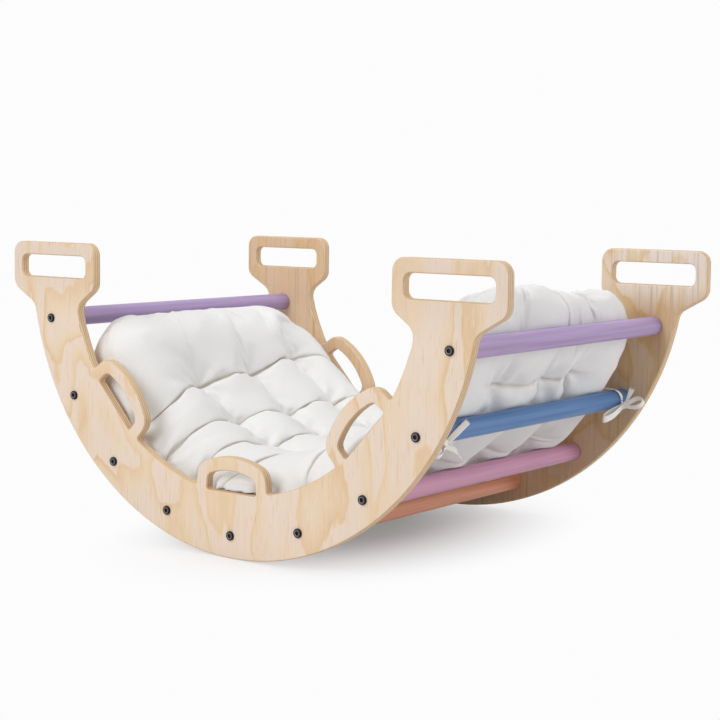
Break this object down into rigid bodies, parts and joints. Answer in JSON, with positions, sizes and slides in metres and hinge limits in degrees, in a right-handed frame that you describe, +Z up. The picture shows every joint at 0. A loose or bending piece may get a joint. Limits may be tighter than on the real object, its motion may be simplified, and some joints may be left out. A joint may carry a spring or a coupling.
{
  "type": "climbing arch",
  "caption": "Plywood climbing arch that also rocks: curved side panels with grip slots and loop handles, pastel round rungs, and a tufted cushion tied inside.",
  "frame": {"origin": "on the floor under the middle of the arch, where the rockers touch it", "axes": "+X along the arch towards its right tips, +Y from the front panel to the rear panel, +Z up"},
  "size_m": [0.956, 0.6018, 0.46],
  "materials": {
    "plywood": "pale pine plywood, clear matt varnish",
    "rung_purple": "satin pastel paint on a wooden dowel",
    "rung_blue": "satin pastel paint on a wooden dowel",
    "rung_pink": "satin pastel paint on a wooden dowel",
    "rung_peach": "satin pastel paint on a wooden dowel",
    "rung_yellow": "satin pastel paint on a wooden dowel",
    "bolt_black": "black oxide steel",
    "insert_steel": "zinc plated",
    "cushion_cotton": "off-white woven cotton, soft matt",
    "tie_cotton": "natural cotton herringbone tape"
  },
  "bodies": {
    "frame": {"side_panel_front": "plywood", "side_panel_rear": "plywood", "rung_1": "rung_purple", "rung_2": "rung_blue", "rung_3": "rung_pink", "rung_4": "rung_peach", "rung_5": "rung_yellow", "rung_6": "rung_peach", "rung_7": "rung_pink", "rung_8": "rung_blue", "rung_9": "rung_purple", "bolts_front": "bolt_black", "bolts_rear": "bolt_black", "inserts_front": "insert_steel", "inserts_rear": "insert_steel"},
    "cushion": {"cushion": "cushion_cotton", "tie_left_front": "tie_cotton", "tie_left_rear": "tie_cotton", "tie_right_front": "tie_cotton", "tie_right_rear": "tie_cotton"}
  },
  "joints": [
    {"name": "cushion_lift", "type": "slide", "parent": "frame", "child": "cushion", "axis": [0, 0, 1], "range_m": [0, 0.45], "deforming": ["tie_left_front", "tie_left_rear", "tie_right_front", "tie_right_rear"]}
  ]
}
